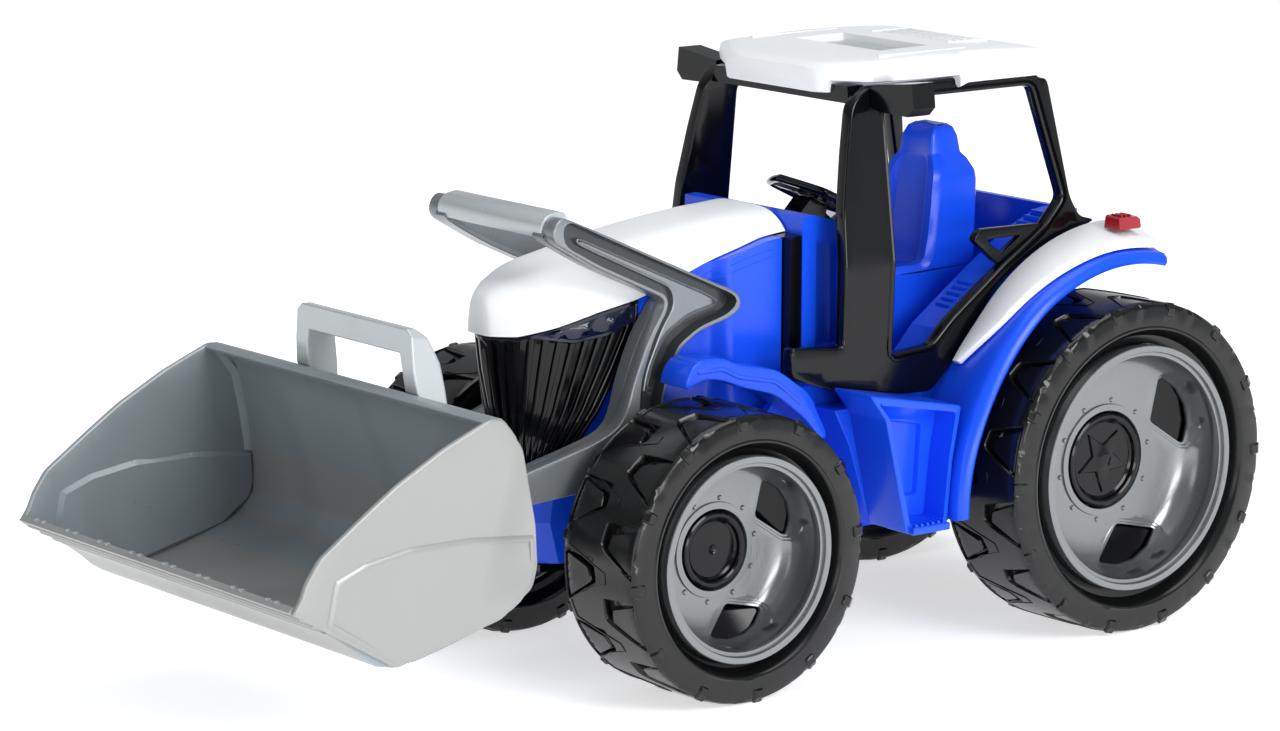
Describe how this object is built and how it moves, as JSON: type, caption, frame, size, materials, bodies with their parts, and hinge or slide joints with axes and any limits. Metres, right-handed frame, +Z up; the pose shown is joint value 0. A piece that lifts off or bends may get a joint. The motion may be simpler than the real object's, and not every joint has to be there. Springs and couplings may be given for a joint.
{
  "type": "toy tractor",
  "caption": "Large plastic toy farm tractor with an open cab, free-rolling lugged wheels and a front loader whose arms lift and whose scoop bucket tilts.",
  "frame": {"origin": "on the ground under the middle of the whole object's box", "axes": "+Z up, -Y towards the bucket at the front, +X towards the tractor's own left side"},
  "size_m": [0.2674, 0.6234, 0.31],
  "materials": {
    "blue_plastic": "glossy injection-moulded blue",
    "white_plastic": "glossy injection-moulded white",
    "black_plastic": "glossy injection-moulded black",
    "silver_plastic": "satin light grey with a metallic flake and flow marks",
    "grey_plastic": "satin mid grey",
    "red_plastic": "glossy translucent-looking red",
    "lens": "glossy dark blue lens",
    "steel": "plain bright steel",
    "tyre_plastic": "hard glossy black plastic tyre"
  },
  "bodies": {
    "chassis": {"front_axle": "steel", "rear_axle": "steel", "hood_cover": "white_plastic", "grille": "black_plastic", "headlamp_left": "lens", "headlamp_right": "lens", "body_shell": "blue_plastic", "underbody_plate": "black_plastic", "plate_screw_1": "steel", "plate_screw_2": "steel", "plate_screw_3": "steel", "plate_screw_4": "steel", "cab_side_left": "black_plastic", "cab_side_right": "black_plastic", "cab_front_header": "black_plastic", "cab_rear_header": "black_plastic", "work_lamp_left": "black_plastic", "work_lamp_right": "black_plastic", "cab_cowl": "black_plastic", "cab_tub": "blue_plastic", "dashboard": "blue_plastic", "seat": "blue_plastic", "steering_column": "black_plastic", "roof": "white_plastic", "roof_hatch": "grey_plastic", "rear_fender_left": "blue_plastic", "rear_fender_right": "blue_plastic", "fender_cover_left": "white_plastic", "fender_cover_right": "white_plastic", "tail_lamp_left": "red_plastic", "tail_lamp_right": "red_plastic", "boarding_step_left": "blue_plastic", "boarding_step_right": "blue_plastic", "tow_hitch": "black_plastic", "hitch_pin": "steel", "lift_pin_left": "steel", "lift_pin_right": "steel"},
    "front_left_wheel": {"front_left_tyre": "tyre_plastic", "front_left_rim": "silver_plastic", "front_left_hub_cap": "black_plastic"},
    "front_right_wheel": {"front_right_tyre": "tyre_plastic", "front_right_rim": "silver_plastic", "front_right_hub_cap": "black_plastic"},
    "rear_left_wheel": {"rear_left_tyre": "tyre_plastic", "rear_left_rim": "silver_plastic", "rear_left_hub_cap": "black_plastic"},
    "rear_right_wheel": {"rear_right_tyre": "tyre_plastic", "rear_right_rim": "silver_plastic", "rear_right_hub_cap": "black_plastic"},
    "loader": {"loader_arm_left": "silver_plastic", "loader_arm_right": "silver_plastic", "loader_crossbar": "silver_plastic", "loader_cross_tube": "silver_plastic", "tilt_pin_left": "steel", "tilt_pin_right": "steel"},
    "bucket": {"bucket": "silver_plastic", "bucket_handle": "silver_plastic"},
    "steering_wheel": {"steering_wheel": "black_plastic"}
  },
  "joints": [
    {"name": "front_left_spin", "type": "hinge", "parent": "chassis", "child": "front_left_wheel", "pos_m": [0, -0.0368, 0.0742], "axis": [1, 0, 0], "continuous": true},
    {"name": "front_right_spin", "type": "hinge", "parent": "chassis", "child": "front_right_wheel", "pos_m": [0, -0.0368, 0.0742], "axis": [1, 0, 0], "continuous": true},
    {"name": "rear_left_spin", "type": "hinge", "parent": "chassis", "child": "rear_left_wheel", "pos_m": [0, 0.2226, 0.0891], "axis": [1, 0, 0], "continuous": true},
    {"name": "rear_right_spin", "type": "hinge", "parent": "chassis", "child": "rear_right_wheel", "pos_m": [0, 0.2226, 0.0891], "axis": [1, 0, 0], "continuous": true},
    {"name": "loader_lift", "type": "hinge", "parent": "chassis", "child": "loader", "pos_m": [0, -0.0524, 0.116], "axis": [-1, 0, 0], "range_deg": [-14, 30]},
    {"name": "bucket_tilt", "type": "hinge", "parent": "loader", "child": "bucket", "pos_m": [0, -0.1574, 0.098], "axis": [-1, 0, 0], "range_deg": [-75, 8]},
    {"name": "steering_turn", "type": "hinge", "parent": "chassis", "child": "steering_wheel", "pos_m": [0, 0.105, 0.2301], "axis": [0, 0.435, 0.9004], "continuous": true}
  ]
}
